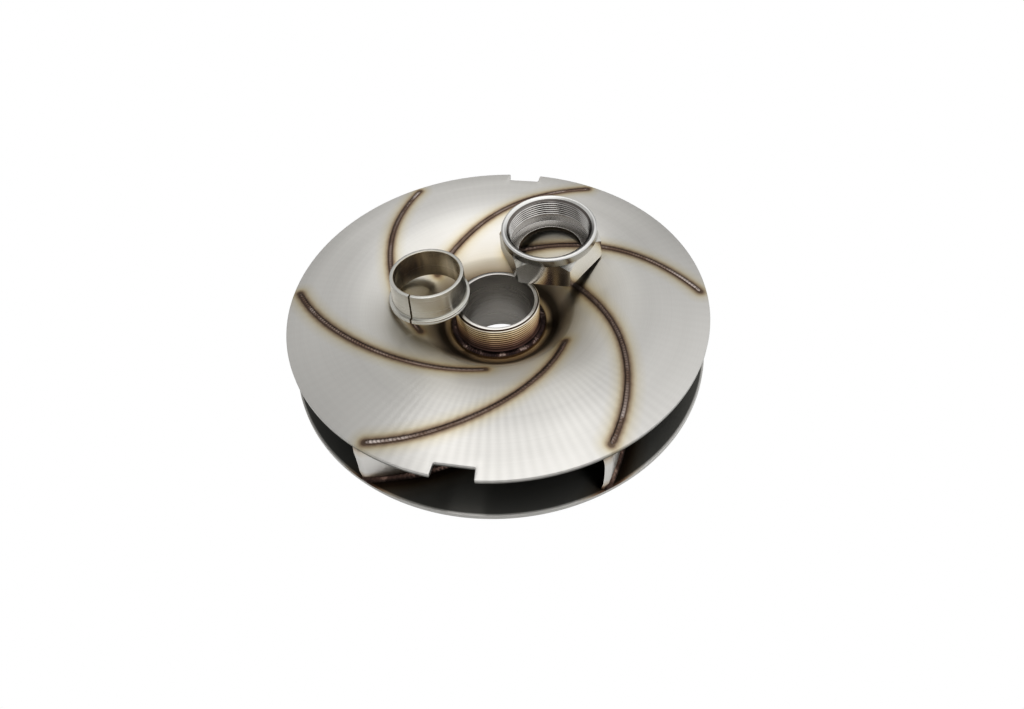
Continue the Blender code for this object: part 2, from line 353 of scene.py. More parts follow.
def meshPiece(name, grid, finish, closedRows=True, closedColumns=True, sharp=40.0):
    # grid[row][column] is a point; open rows get an end face each
    points = np.asarray(grid, float)
    rows, columns = points.shape[:2]
    faces = []
    for i in range(rows if closedRows else rows - 1):
        low = i * columns
        high = (i + 1) % rows * columns
        for j in range(columns if closedColumns else columns - 1):
            k = (j + 1) % columns
            faces.append((low + j, low + k, high + k, high + j))
    if not closedRows:
        faces.append(tuple(range(columns)))
        faces.append(tuple((rows - 1) * columns + j for j in reversed(range(columns))))
    mesh = bpy.data.meshes.new(name)
    mesh.from_pydata(points.reshape(-1, 3).tolist(), [], faces)
    bm = bmesh.new()
    bm.from_mesh(mesh)
    bmesh.ops.remove_doubles(bm, verts=bm.verts, dist=0.000002)
    bmesh.ops.recalc_face_normals(bm, faces=bm.faces)
    bm.to_mesh(mesh)
    bm.free()
    mesh.shade_smooth()
    mesh.set_sharp_from_angle(angle=radians(sharp))
    mesh.materials.append(finish)
    piece = bpy.data.objects.new(name, mesh)
    bpy.context.collection.objects.link(piece)
    return piece


def turned(profile, steps, start=0.0):            # rows of a closed (radius, height) outline, spun about Z
    angles = [start + 2 * pi * i / steps for i in range(steps)]
    return [[(r * cos(a), r * sin(a), z) for a in angles] for r, z in profile]


def dress(piece, node, body):
    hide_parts(node)
    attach(piece, body)


# Finishes
steel = {
    # inner is painted shade: the colour that surfaces inside the passages, between the two shrouds, take
    # instead of the steel's own
    "colour": (0.60, 0.588, 0.562), "inner": (0.125, 0.124, 0.115),
    "lines": 2600.0, "drift": 9.0,                # turning lines to the metre, slow change along them
    "wideLines": 0.12, "fineShare": 0.6,          # broader bands among them, and the fine lines' share
    # the chatter's colour stripes are a painted highlight, strongest round the front bearing where the
    # lamps' highlight falls
    "lineShade": 0.22, "blotchShade": 0.08, "chatterHighlight": 0.080, "highlightBearing": radians(-75.0),
    "roughness": 0.30, "anisotropy": 1.0, "lineRoughness": 0.10,
    "lineDepth": 0.02 * mm, "lineStrength": 0.35,
    "chatter": 138, "chatterDepth": 0.007 * mm,   # waves round the plate, left by the turning
    "highlightFacing": (0.66, 0.94), "chatterRadii": (50.0 * mm, 78.0 * mm), "chatterOutsideHighlight": 0.15,
    "cloud": 28.0, "ragged": 420.0, "wobble": 30.0,   # noise sizes, to the metre
    "raggedWidth": 0.7 * mm, "cloudWidth": 2.0 * mm, "nearSeam": (1.5 * mm, 5.0 * mm),
    "peak": 1.13,                                 # the lightest step of the painted lighter band round the hub, over the plain steel
}
seamTint = [                                      # beside a back seam, by distance
    (0.0, (0.20, 0.15, 0.12)), (1.4 * mm, (0.26, 0.20, 0.16)), (1.9 * mm, (0.46, 0.37, 0.28)),
    (2.7 * mm, (0.68, 0.58, 0.45)), (3.5 * mm, (0.86, 0.78, 0.62)), (4.7 * mm, (0.94, 0.90, 0.80)),
    (6.5 * mm, (0.98, 0.96, 0.91)), (9.0 * mm, (1.0, 1.0, 1.0)),
]
hubTintAndShade = [                                       # round the hub, by radius: heat tint by the weld, a golden band at the floor's bend that is heat tint with a painted highlight, painted shade on the dish wall, then a painted lighter band on the dish
    (24.0 * mm, (0.10, 0.06, 0.03)), (25.6 * mm, (0.22, 0.15, 0.08)), (26.6 * mm, (0.62, 0.49, 0.31)),
    (28.2 * mm, (0.56, 0.44, 0.29)), (29.6 * mm, (0.20, 0.15, 0.10)), (32.0 * mm, (0.20, 0.155, 0.105)),
    (34.0 * mm, (0.50, 0.42, 0.32)), (36.0 * mm, (0.70, 0.61, 0.49)), (38.5 * mm, (0.84, 0.77, 0.65)),
    (44.0 * mm, (0.94, 0.90, 0.82)), (52.0 * mm, (1.03, 1.01, 0.97)), (60.0 * mm, (1.10, 1.09, 1.07)),
    (70.0 * mm, (steel["peak"], steel["peak"], 1.12)), (78.0 * mm, (1.0, 1.0, 1.0)),
]


def seamDistance(paint, x, y, inner, outer):
    # Folds every vane onto the first, then measures off its arc and along it past its ends
    r = paint.maths("SQRT", x * x + y * y)
    reach = paint.maths("MAXIMUM", r, impeller["vaneArc"] - arcReach + 0.1 * mm)
    lineAngle = paint.maths("ARCCOSINE", (reach * reach + (arcReach ** 2 - impeller["vaneArc"] ** 2))
                            / (reach * (2 * arcReach)))
    bearing = paint.maths("ARCTAN2", y, x) - (arcBearing + impeller["tipTurn"])
    off = paint.maths("WRAP", bearing - lineAngle, pi / impeller["vanes"], -pi / impeller["vanes"])
    angle = lineAngle + off
    a = r * paint.maths("COSINE", angle) - arcReach
    b = r * paint.maths("SINE", angle)
    side = paint.maths("SQRT", a * a + b * b) - impeller["vaneArc"]
    along = paint.maths("ARCTAN2", b, a)
    beyond = paint.maths("MAXIMUM", along - arcAngle(inner), arcAngle(outer) - along)
    past = paint.maths("MAXIMUM", beyond * impeller["vaneArc"], 0.0)
    return r, side, paint.maths("SQRT", side * side + past * past)


def turnedLines(paint, x, y, z, r, lines):
    # Fine rings round the axis that change slowly across the piece
    slow = (x + 0.6 * y) * steel["drift"]
    fine = paint.noise(paint.vector(r * lines, z * lines, slow), 1.0, 3.0, 0.6)
    broad = steel["wideLines"]
    wide = paint.noise(paint.vector(r * lines * broad, z * lines * broad, slow * 1.7), 1.0, 2.0, 0.5)
    return fine * steel["fineShare"] + wide * (1.0 - steel["fineShare"])


def facingUp(paint):                              # 1 where the surface looks up, 0 where it looks down
    parts = paint.split(paint.node("NewGeometry", out="Normal"))
    return paint.rise(parts[2], -0.3, 0.1)


def steelPaint(name, colour, roughness, anisotropy=0.0, metallic=1.0):
    return Paint(name, Base_Color=(*colour, 1.0), Roughness=roughness, Metallic=metallic,
                 Anisotropic=anisotropy, Anisotropic_Rotation=0.25)


def backPlateFinish():
    paint = steelPaint("back_shroud_steel", steel["colour"], steel["roughness"], steel["anisotropy"])
    x, y, z = paint.place()
    r, side, distance = seamDistance(paint, x, y, plate["seamInner"], plate["seamOuter"])
    lines = turnedLines(paint, x, y, z, r, steel["lines"])
    cloud = paint.noise(paint.vector(x, y, z), steel["cloud"], 3.0, 0.55)
    shade = 1.0 + (lines - 0.5) * steel["lineShade"] + (cloud - 0.5) * steel["blotchShade"]
    ragged = paint.noise(paint.vector(x, y, z), steel["ragged"], 2.0, 0.6)
    bearing = paint.maths("ARCTAN2", y, x)
    wobble = paint.noise(paint.vector(x, y, z), steel["wobble"], 1.0, 0.5)
    wave = paint.maths("SINE", bearing * steel["chatter"] + wobble * 3.0)
    # turning chatter painted as highlight stripes: full on the front side where the lamps' highlight falls,
    # weaker elsewhere
    inHighlight = paint.rise(paint.maths("COSINE", bearing - steel["highlightBearing"]), *steel["highlightFacing"])
    kept = steel["chatterOutsideHighlight"]
    chatterAndHighlight = wave * (inHighlight * (1.0 - kept) + kept) * paint.rise(r, *steel["chatterRadii"])
    shade = shade + chatterAndHighlight * wobble * steel["chatterHighlight"]
    # painted shade: faces that look down, under the back shroud and inside the passages, take the dark
    # inner colour
    up = facingUp(paint)
    ground = paint.blend(up, steel["inner"], steel["colour"])
    tint = paint.ramp(distance + (ragged - 0.5) * steel["raggedWidth"], seamTint)
    base = paint.blend(1.0, ground, tint, "MULTIPLY")
    # painted light and shade round the hub, on faces that look up, besides the heat tint by the weld
    hubStops = [(at, [share / steel["peak"] for share in tone]) for at, tone in hubTintAndShade]
    hubShade = paint.ramp(r + (cloud - 0.5) * steel["cloudWidth"], hubStops)
    base = paint.blend(up, base, paint.blend(1.0, base, hubShade, "MULTIPLY"))
    near = 1.0 - paint.rise(distance, *steel["nearSeam"])
    roughness = steel["roughness"] + (lines - 0.5) * steel["lineRoughness"] + near * 0.04
    relief = lines + wave * (steel["chatterDepth"] / steel["lineDepth"])
    return paint.coat(base, shade * steel["peak"], roughness, relief, steel["lineDepth"],
                      steel["lineStrength"])


# Back shroud: pressed and turned disc with a dished middle and two notches in the rim
plate = {
    "edge": 0.35 * mm, "notchHalfAngle": radians(5.0), "notchRadius": 102.0 * mm,
    "notchCorner": 0.7 * mm, "notchReach": radians(10.0), "notchDraw": radians(2.2), "innerRing": 97.0 * mm,
    "wallBend": 2.5 * mm, "seamInner": 43.0 * mm, "seamOuter": 104.6 * mm, "ringSteps": 172,
}


def rimOutline():
    # Plan outline of the rim as (x, y), notches at -Y and +Y
    corners = []
    for side in (-1, 1):
        for way, radius in ((-1, "notchRadius"), (1, "notchRadius"), (1, "rim")):
            angle = side * pi / 2 + way * plate["notchHalfAngle"]
            reach = impeller["backRadius"] if radius == "rim" else plate["notchRadius"]
            corners.append((reach * cos(angle), reach * sin(angle), plate["notchCorner"]))
        first = side * pi / 2 + plate["notchHalfAngle"]
        last = side * pi / 2 + pi - plate["notchHalfAngle"]
        for angle in spread(first, last, plate["ringSteps"])[1:-1]:
            corners.append((impeller["backRadius"] * cos(angle), impeller["backRadius"] * sin(angle), 0))
        corners.append((impeller["backRadius"] * cos(last), impeller["backRadius"] * sin(last),
                        plate["notchCorner"]))
    return [Vector(p) for p in softened(corners, 3)]


def ringAngles(outline):
    # Angles for the round rings inside: as the outline's, but drawn away from a notch's side walls
    angles = []
    half, reach = plate["notchHalfAngle"], plate["notchReach"]
    for point in outline:
        angle = atan2(point.y, point.x)
        centre = pi / 2 if angle > 0 else -pi / 2
        off = abs(angle - centre)
        depth = (impeller["backRadius"] - point.length) / (impeller["backRadius"] - plate["notchRadius"])
        if off < reach:
            away = plate["notchDraw"] * (1 - min(1.0, depth)) * (1 - max(0.0, off - half) / (reach - half))
            angle += away if angle > centre else -away
        angles.append(angle)
    return angles


def backPlate():
    outline = rimOutline()
    count = len(outline)
    angles = ringAngles(outline)
    outward = []
    for i in range(count):
        along = (outline[(i + 1) % count] - outline[i - 1]).normalized()
        outward.append(Vector((along.y, -along.x)))
    sheet, edge = impeller["sheet"], plate["edge"]
    radii = spread(plate["innerRing"], impeller["dishStart"], 3)
    radii += spread(impeller["dishStart"], impeller["wallStart"] + plate["wallBend"], 60)[1:]
    upper = [(r, backFace(r)) for r in radii]
    bends = [
        (impeller["wallStart"] + plate["wallBend"], backFace(impeller["wallStart"] + plate["wallBend"]), 0),
        (impeller["wallStart"], backFace(impeller["wallStart"]), plate["wallBend"]),
        (impeller["floorStart"], backFace(impeller["floorStart"]), plate["wallBend"]),
        (impeller["hubHole"], backFace(impeller["hubHole"]), 0)]
    upper += softened(bends, 8)[1:]
    lower = []
    for i, (r, z) in enumerate(upper):
        before = Vector(upper[max(0, i - 1)])
        after = Vector(upper[min(len(upper) - 1, i + 1)])
        along = (after - before).normalized()
        lower.append((r - along.y * sheet, z + along.x * sheet))
    lower[-1] = (impeller["hubHole"], upper[-1][1] - sheet)
    rows = [[(r * cos(a), r * sin(a), z) for a in angles] for r, z in upper]
    rows += [[(r * cos(a), r * sin(a), z) for a in angles] for r, z in reversed(lower)]
    top = impeller["top"]
    for turn in spread(0.0, pi, 8):                          # under the rim, round it and back on top
        lift = top - sheet + edge - edge * cos(turn) if turn < pi / 2 else top - edge - edge * cos(turn)
        inset = edge * (1 - sin(turn))
        rows.append([(p.x - n.x * inset, p.y - n.y * inset, lift) for p, n in zip(outline, outward)])
    piece = meshPiece("back_shroud_plate", rows, backPlateFinish())
    dress(piece, "back_shroud", "impeller")


backPlate()
print("back shroud made")


# Front shroud: flat ring with a rounded neck, resting on the neck's end
neck = {
    "bore": 56.0 * mm, "bend": 12.0 * mm, "edge": 0.35 * mm, "steps": 360,
    "roughness": 0.36, "anisotropy": 0.95, "lineShade": 0.10, "cloudShade": 0.10, "cloud": 24.0,
    "lineRoughness": 0.12,
}
footTint = [                                      # beside a vane's foot, by distance
    (0.0, (0.12, 0.08, 0.06)), (2.6 * mm, (0.24, 0.15, 0.10)), (4.2 * mm, (0.50, 0.38, 0.28)),
    (7.0 * mm, (0.86, 0.80, 0.72)), (11.0 * mm, (1.0, 1.0, 1.0)),
]


def frontPlateFinish():
    paint = steelPaint("front_shroud_steel", steel["colour"], neck["roughness"], neck["anisotropy"])
    x, y, z = paint.place()
    r, side, distance = seamDistance(paint, x, y, footBead["inner"], footBead["outer"])
    offCentre = abs(side - footBead["tintOffset"])
    lines = turnedLines(paint, x, y, z, r, steel["lines"])
    cloud = paint.noise(paint.vector(x, y, z), neck["cloud"], 3.0, 0.55)
    onTop = paint.rise(z, frontFace - 0.5 * mm, frontFace - 0.1 * mm)
    rim = impeller["frontRadius"]
    # painted shade: the front shroud's top inside the passages takes the dark inner colour, all but a thin
    # band at the rim
    inside = onTop * (1.0 - paint.rise(r, rim - 1.4 * mm, rim - 0.5 * mm))
    ground = paint.blend(inside, steel["colour"], steel["inner"])
    tint = paint.ramp(paint.maths("MAXIMUM", offCentre, distance - footBead["tintOffset"]), footTint)
    base = paint.blend(onTop, ground, paint.blend(1.0, ground, tint, "MULTIPLY"))
    shade = 0.94 + (lines - 0.5) * neck["lineShade"] + (cloud - 0.5) * neck["cloudShade"]
    roughness = neck["roughness"] + (lines - 0.5) * neck["lineRoughness"]
    return paint.coat(base, shade, roughness, lines, steel["lineDepth"], steel["lineStrength"])


def neckArc(radius):
    across = neck["bore"] + impeller["sheet"] + neck["bend"]
    height = frontFace - impeller["sheet"] - neck["bend"]
    return [(across + radius * cos(a), height + radius * sin(a)) for a in spread(pi / 2, pi, 16)]


def frontPlate():
    rim, edge = impeller["frontRadius"], neck["edge"]
    inner = [(r, z, 0) for r, z in neckArc(neck["bend"] + impeller["sheet"])]
    outer = [(r, z, 0) for r, z in reversed(neckArc(neck["bend"]))]
    corners = [(rim, frontFace, edge)] + inner + [(neck["bore"], 0.0, edge)]
    corners += [(neck["bore"] + impeller["sheet"], 0.0, edge)] + outer
    corners += [(rim, frontFace - impeller["sheet"], edge)]
    piece = meshPiece("front_shroud_plate", turned(softened(corners), neck["steps"]), frontPlateFinish())
    dress(piece, "front_shroud", "impeller")


# Vanes, their seams on top and their fillet welds at the foot
vane = {
    "sheet": 2.0 * mm, "tip": 107.9 * mm, "root": 44.0 * mm, "foot": 68.0 * mm,
    "bow": 1.5 * mm, "bowStart": 96.0 * mm, "flare": 1.3 * mm, "flareHeight": 2.4 * mm,
    "stations": 90, "levels": 14, "gap": 0.3 * mm, "colour": (0.76, 0.745, 0.715),
    # deepRadii and deepShade paint shade on the vane, darker deeper inside the passage toward the hub
    "roughness": 0.38, "deepRadii": (82.0 * mm, 97.0 * mm), "deepShade": 0.10,
    "grainAlong": 60.0, "grainUp": 2200.0, "grainDepth": 0.02 * mm, "cloud": 60.0, "ragged": 3.0 * mm,
    "grainShade": 0.12, "cloudShade": 0.12, "grainRoughness": 0.14,
    "footTint": (                                 # by height over the front shroud
        (0.0, (0.16, 0.10, 0.07)), (2.0 * mm, (0.30, 0.21, 0.15)), (3.6 * mm, (0.80, 0.72, 0.62)),
        (7.0 * mm, (1.0, 1.0, 1.0))),
    "headTint": (                                 # by depth under the back shroud's rim
        (9.0 * mm, (1.0, 1.0, 1.0)), (5.0 * mm, (0.86, 0.80, 0.72)), (2.5 * mm, (0.62, 0.52, 0.42))),
}
seamBead = {
    "outer": 104.6 * mm, "inner": 43.0 * mm, "width": 2.6 * mm, "height": 0.7 * mm,
    "ripple": 0.95 * mm, "rippleHeight": 0.07 * mm, "stations": 340, "wander": 0.12 * mm,
    # the lighter crown colour is a painted highlight along the bead's top, with more of it toward the outer
    # end
    "oxide": (0.125, 0.090, 0.072), "crownHighlight": (0.36, 0.315, 0.295), "roughness": 0.34,
    "grain": 900.0, "grainDepth": 0.05 * mm, "patch": 90.0,
    "crown": (0.5 * mm, 1.1 * mm), "crownHighlightRadii": (88.0 * mm, 101.0 * mm), "crownHighlightInside": 0.25,
    "crownHighlightPatch": (0.40, 0.62), "grainRoughness": 0.16,
}
footBead = {
    "outer": 107.6 * mm, "inner": 72.0 * mm, "leg": 1.9 * mm, "bulge": 0.30 * mm,
    "ripple": 1.1 * mm, "rippleHeight": 0.12 * mm, "stations": 170, "tintOffset": 2.4 * mm,
    "oxide": ((0.3, (0.05, 0.032, 0.026)), (0.5, (0.085, 0.055, 0.045)), (0.72, (0.30, 0.22, 0.185))),
    "roughness": 0.26, "grain": 800.0, "grainDepth": 0.05 * mm, "patch": 130.0,
}


def vaneFinish():
    paint = steelPaint("vane_sheet_steel", vane["colour"], vane["roughness"])
    x, y, z = paint.place()
    r = paint.maths("SQRT", x * x + y * y)
    along, up = vane["grainAlong"], vane["grainUp"]
    grain = paint.noise(paint.vector(x * along, y * along, z * up), 1.0, 3.0, 0.6)
    cloud = paint.noise(paint.vector(x, y, z), vane["cloud"], 3.0, 0.55)
    ragged = (cloud - 0.5) * vane["ragged"]
    stops = [(frontFace + over, tone) for over, tone in vane["footTint"]]
    stops += [(impeller["top"] - under, tone) for under, tone in vane["headTint"]]
    base = paint.blend(1.0, vane["colour"], paint.ramp(z + ragged, stops), "MULTIPLY")
    # painted shade: the vane is made darker deeper inside the passage, toward the hub
    deep = 1.0 - paint.rise(r, *vane["deepRadii"])
    shade = 0.97 + (grain - 0.5) * vane["grainShade"] + (cloud - 0.5) * vane["cloudShade"]
    shade = shade * (1.0 - deep * vane["deepShade"])
    roughness = vane["roughness"] + (grain - 0.5) * vane["grainRoughness"]
    return paint.coat(base, shade, roughness, grain, vane["grainDepth"], 0.4)


def seamFinish():
    paint = steelPaint("seam_weld_oxide_and_highlight", (0.16, 0.12, 0.10), 0.40)
    x, y, z = paint.place()
    r, side, distance = seamDistance(paint, x, y, seamBead["inner"], seamBead["outer"])
    grain = paint.noise(paint.vector(x, y, z), seamBead["grain"], 3.0, 0.6)
    patch = paint.noise(paint.vector(x, y, z), seamBead["patch"], 2.0, 0.5)
    # painted highlight: a lighter patchy colour along the crown of the bead
    middle = 1.0 - paint.rise(abs(side), *seamBead["crown"])
    outerEnd = paint.rise(r, *seamBead["crownHighlightRadii"])
    share = seamBead["crownHighlightInside"] + (1.0 - seamBead["crownHighlightInside"]) * outerEnd
    bright = middle * share * paint.rise(patch + (grain - 0.5) * 0.4, *seamBead["crownHighlightPatch"])
    base = paint.blend(bright, seamBead["oxide"], seamBead["crownHighlight"])
    roughness = seamBead["roughness"] + grain * seamBead["grainRoughness"]
    return paint.coat(base, 0.75 + grain * 0.5, roughness, grain, seamBead["grainDepth"], 0.4)


def footFinish():
    paint = steelPaint("foot_weld_oxide", (0.16, 0.12, 0.10), 0.36)
    x, y, z = paint.place()
    grain = paint.noise(paint.vector(x, y, z), footBead["grain"], 3.0, 0.6)
    patch = paint.noise(paint.vector(x, y, z), footBead["patch"], 2.0, 0.5)
    paint.use("Base Color", paint.ramp(patch + (grain - 0.5) * 0.3, footBead["oxide"]))
    paint.use("Roughness", footBead["roughness"] + grain * 0.2)
    paint.bump(grain, footBead["grainDepth"], 0.5)
    return paint.finish


def vaneSheet(i, finish):
    turn = vaneTurn(i)
    rows = []
    for r in spread(vane["tip"], vane["root"], vane["stations"]):
        foot = frontFace + vane["gap"]
        if r < vane["foot"]:
            inner = backUnderside(vane["root"]) - impeller["sheet"]
            foot += (inner - frontFace) * (vane["foot"] - r) / (vane["foot"] - vane["root"])
        bow = vane["bow"] * min(1.0, max(0.0, (r - vane["bowStart"]) / (vane["tip"] - vane["bowStart"])))
        x, y = vanePlan(r, 0.0, turn)
        head = backUnderside(hypot(x, y)) + 0.05 * mm
        ring = []
        for way in (1, -1):
            shares = spread(0.0, 1.0, vane["levels"])
            for share in shares if way > 0 else reversed(shares):
                z = foot + (head - foot) * share
                near = max(0.0, 1 - (head - z) / vane["flareHeight"])
                half = vane["sheet"] / 2 + vane["flare"] * near ** 2
                side = way * half + bow * 4 * share * (1 - share)
                px, py = vanePlan(r, side, turn)
                reach = hypot(px, py)
                if reach > vane["tip"]:
                    px, py = px * vane["tip"] / reach, py * vane["tip"] / reach
                ring.append((px, py, z))
        rows.append(ring)
    piece = meshPiece("vane_%d_sheet" % (i + 1), rows, finish, closedRows=False)
    dress(piece, "vane_%d" % (i + 1), "impeller")


def seamPiece(i, finish):
    turn = vaneTurn(i)
    half = seamBead["width"] / 2
    rows = []
    for r in spread(seamBead["outer"], seamBead["inner"], seamBead["stations"]):
        toEnd = min(seamBead["outer"] - r, r - seamBead["inner"])
        swell = sqrt(max(0.02, 1 - (1 - min(1.0, toEnd / half)) ** 2))
        drift = noise.noise(Vector((r * 130, i * 7.1, 0.3)))
        width = half * swell * (1.0 + 0.08 * noise.noise(Vector((r * 320, i * 3.7, 5.2))))
        ring = []
        for across in spread(-1.0, 1.0, 10):
            side = across * width + drift * seamBead["wander"]
            x, y = vanePlan(r, side, turn)
            arch = (1 - across * across) ** 0.6
            phase = 2 * pi * (r / seamBead["ripple"] - 0.55 * (1 - across * across) + 0.25 * drift)
            wave = seamBead["rippleHeight"] * sin(phase) * arch
            rise = seamBead["height"] * arch * swell + wave - 0.15 * mm
            ring.append((x, y, backFace(hypot(x, y)) + rise))
        for across in (0.8, -0.8):                           # sunk underside, inside the plate
            x, y = vanePlan(r, across * width, turn)
            ring.append((x, y, backFace(hypot(x, y)) - 0.6 * mm))
        rows.append(ring)
    name = "back_seam_%d" % (i + 1)
    piece = meshPiece(name + "_bead", rows, finish, closedRows=False)
    dress(piece, name, "impeller")


def footPiece(i, finish):
    turn = vaneTurn(i)
    rows = []
    corner = vane["sheet"] / 2 - 0.1 * mm
    for r in spread(footBead["outer"], footBead["inner"], footBead["stations"]):
        toEnd = min(footBead["outer"] - r, r - footBead["inner"])
        swell = sqrt(max(0.05, 1 - (1 - min(1.0, toEnd / (1.2 * mm))) ** 2))
        drift = noise.noise(Vector((r * 150, i * 5.3, 1.7)))
        leg = footBead["leg"] * swell * (1 + 0.12 * drift)
        ring = [(*vanePlan(r, corner, turn), frontFace - 0.3 * mm)]
        for t in spread(0.0, 1.0, 9):
            arch = 4 * t * (1 - t)
            phase = 2 * pi * (r / footBead["ripple"] - 0.35 * arch + 0.3 * drift)
            out = footBead["bulge"] * arch + footBead["rippleHeight"] * sin(phase) * arch
            side = corner + leg * (1 - t) + out * 0.707
            z = frontFace + leg * t + out * 0.707
            ring.append((*vanePlan(r, side, turn), z))
        trims = [min(1.0, impeller["frontRadius"] / hypot(x, y)) for x, y, z in ring]
        rows.append([(x * trim, y * trim, z) for (x, y, z), trim in zip(ring, trims)])
    name = "foot_weld_%d" % (i + 1)
    piece = meshPiece(name + "_bead", rows, finish, closedRows=False)
    dress(piece, name, "impeller")


frontPlate()
print("front shroud made")
sheetFinish, seamLook, footLook = vaneFinish(), seamFinish(), footFinish()
for number in range(impeller["vanes"]):
    vaneSheet(number, sheetFinish)
    seamPiece(number, seamLook)
    footPiece(number, footLook)
print("vanes and their welds made")


# Hub sleeve with its outer thread, and the weld round its foot
thread = {"pitch": 1.5 * mm, "depth": 0.8 * mm, "step": 0.125 * mm, "facets": 240}
hub = {
    "face": impeller["top"] - 5.2 * mm, "crest": 22.5 * mm, "faceRadius": 21.7 * mm, "body": 23.0 * mm,
    "mouth": 19.7 * mm, "bore": 17.8 * mm, "taper": 20.0 * mm, "length": 37.8 * mm,
    "turns": 9, "runOut": 1.2 * mm, "edge": 0.25 * mm,
    # the root colour is painted shade in the thread's roots and flanks
    "colour": (0.60, 0.58, 0.55), "rootShade": (0.05, 0.03, 0.02),
    "lines": 2400.0, "lineShade": 0.16, "lineRoughness": 0.12, "roughness": 0.28,
    "outsideRadii": (21.2 * mm, 21.6 * mm), "crestRadii": (21.85 * mm, 22.35 * mm),
    "heat": (                                     # outside, by height
        (26.0 * mm, (0.05, 0.03, 0.028)), (29.0 * mm, (0.10, 0.06, 0.05)), (32.0 * mm, (0.26, 0.17, 0.12)),
        (36.0 * mm, (0.50, 0.37, 0.23)), (41.0 * mm, (0.76, 0.63, 0.43)), (42.6 * mm, (0.92, 0.89, 0.82))),
}
hubBead = {
    "outer": 25.9 * mm, "height": 2.2 * mm, "ripple": 1.3 * mm, "rippleHeight": 0.14 * mm, "steps": 540,
    "oxide": ((0.3, (0.03, 0.02, 0.02)), (0.55, (0.065, 0.042, 0.038)), (0.75, (0.36, 0.29, 0.26))),
    "golden": (0.20, 0.135, 0.075), "goldenRadii": (25.3 * mm, 25.8 * mm), "middle": 24.5 * mm,
    "roughness": 0.26, "grain": 700.0, "grainDepth": 0.05 * mm, "patch": 160.0,
}


def threadShare(turns):                           # 0 at a root, 1 at a crest, with flat lands
    saw = abs((turns % 1.0) * 2 - 1)
    return min(1.0, max(0.0, (saw - 0.12) / 0.72))


def threadRows(crest, root, top, bottom, limit):
    # Rows of a helical thread going down; limit(z) trims it at its chamfers
    rows = []
    count = round((top - bottom) / thread["step"])
    for z in spread(top, bottom, count):
        row = []
        for i in range(thread["facets"]):
            angle = 2 * pi * i / thread["facets"]
            share = threadShare(z / thread["pitch"] - angle / (2 * pi))
            r = limit(root + (crest - root) * share, z)
            row.append((r * cos(angle), r * sin(angle), z))
        rows.append(row)
    return rows


def hubFinish():
    paint = steelPaint("hub_sleeve_steel", hub["colour"], 0.30, 0.6)
    x, y, z = paint.place()
    r = paint.maths("SQRT", x * x + y * y)
    lines = turnedLines(paint, x, y, z, r, hub["lines"])
    outside = paint.rise(r, *hub["outsideRadii"])
    crest = paint.rise(r, *hub["crestRadii"])
    base = paint.blend(outside, hub["colour"], paint.ramp(z, hub["heat"]))
    # painted shade: the thread's roots and flanks take the dark root colour
    base = paint.blend(outside * (1.0 - crest), base, hub["rootShade"])
    shade = 0.95 + (lines - 0.5) * hub["lineShade"]
    roughness = hub["roughness"] + (lines - 0.5) * hub["lineRoughness"]
    return paint.coat(base, shade, roughness, lines, steel["lineDepth"], 0.4)


def hubWeldFinish():
    paint = steelPaint("hub_weld_oxide", (0.15, 0.11, 0.10), 0.34)
    x, y, z = paint.place()
    r = paint.maths("SQRT", x * x + y * y)
    grain = paint.noise(paint.vector(x, y, z), hubBead["grain"], 3.0, 0.6)
    patch = paint.noise(paint.vector(x, y, z), hubBead["patch"], 2.0, 0.5)
    base = paint.ramp(patch + (grain - 0.5) * 0.5, hubBead["oxide"])
    golden = paint.rise(r, *hubBead["goldenRadii"])
    paint.use("Base Color", paint.blend(golden, base, hubBead["golden"]))
    paint.use("Roughness", hubBead["roughness"] + grain * 0.2)
    paint.bump(grain, hubBead["grainDepth"], 0.5)
    return paint.finish


def hubSleeve():
    threadTop = hub["face"] - (hub["crest"] - hub["faceRadius"])
    threadFoot = threadTop - hub["turns"] * thread["pitch"]
    root = hub["crest"] - thread["depth"]

    def limit(r, z):                              # chamfer at the top, run-out at the foot
        r = min(r, hub["crest"] - max(0.0, z - threadTop))
        fade = min(1.0, max(0.0, (threadFoot + hub["runOut"] - z) / hub["runOut"]))
        return r + (hub["crest"] - r) * fade

    foot = hub["face"] - hub["length"]
    bore = [(hub["body"], threadFoot - 0.3 * mm, 0), (hub["body"], foot, hub["edge"]),
            (hub["bore"], foot, hub["edge"]), (hub["bore"], hub["face"] - hub["taper"], 0),
            (hub["mouth"], hub["face"], 0.35 * mm), (hub["faceRadius"], hub["face"], 0)]
    rows = threadRows(hub["crest"], root, hub["face"] - 0.05 * mm, threadFoot, limit)
    rows += turned(softened(bore), thread["facets"])
    piece = meshPiece("hub_sleeve_turned", rows, hubFinish(), sharp=50.0)
    dress(piece, "hub_sleeve", "impeller")


def hubWeld():
    base = impeller["top"] - impeller["floorDepth"] - 0.2 * mm
    inner = hub["body"] - 0.1 * mm
    width = hubBead["outer"] - inner
    columns = []
    for k in range(hubBead["steps"]):
        angle = 2 * pi * k / hubBead["steps"]
        around = Vector((cos(angle), sin(angle), 0.0))
        drift = noise.noise(around * 4.0)
        lumps = noise.noise(around * 17.0)
        ring = [(inner, base)]
        out = 1 + 0.05 * drift
        for t in spread(0.0, 1.0, 12):
            arch = sin(pi * t)
            phase = 2 * pi * (angle * hubBead["middle"] / hubBead["ripple"]) - 2.2 * arch + 2.0 * drift
            r = inner + width * out * sin(pi / 2 * (1 - t)) ** 0.8
            z = base + hubBead["height"] * (1 + 0.10 * lumps) * sin(pi / 2 * t) ** 0.8
            z += hubBead["rippleHeight"] * sin(phase) * arch
            ring.append((r, z))
        columns.append([(r * cos(angle), r * sin(angle), z) for r, z in ring])
    piece = meshPiece("hub_weld_bead", columns, hubWeldFinish())
    dress(piece, "hub_weld", "impeller")


hubSleeve()
hubWeld()
print("hub made")


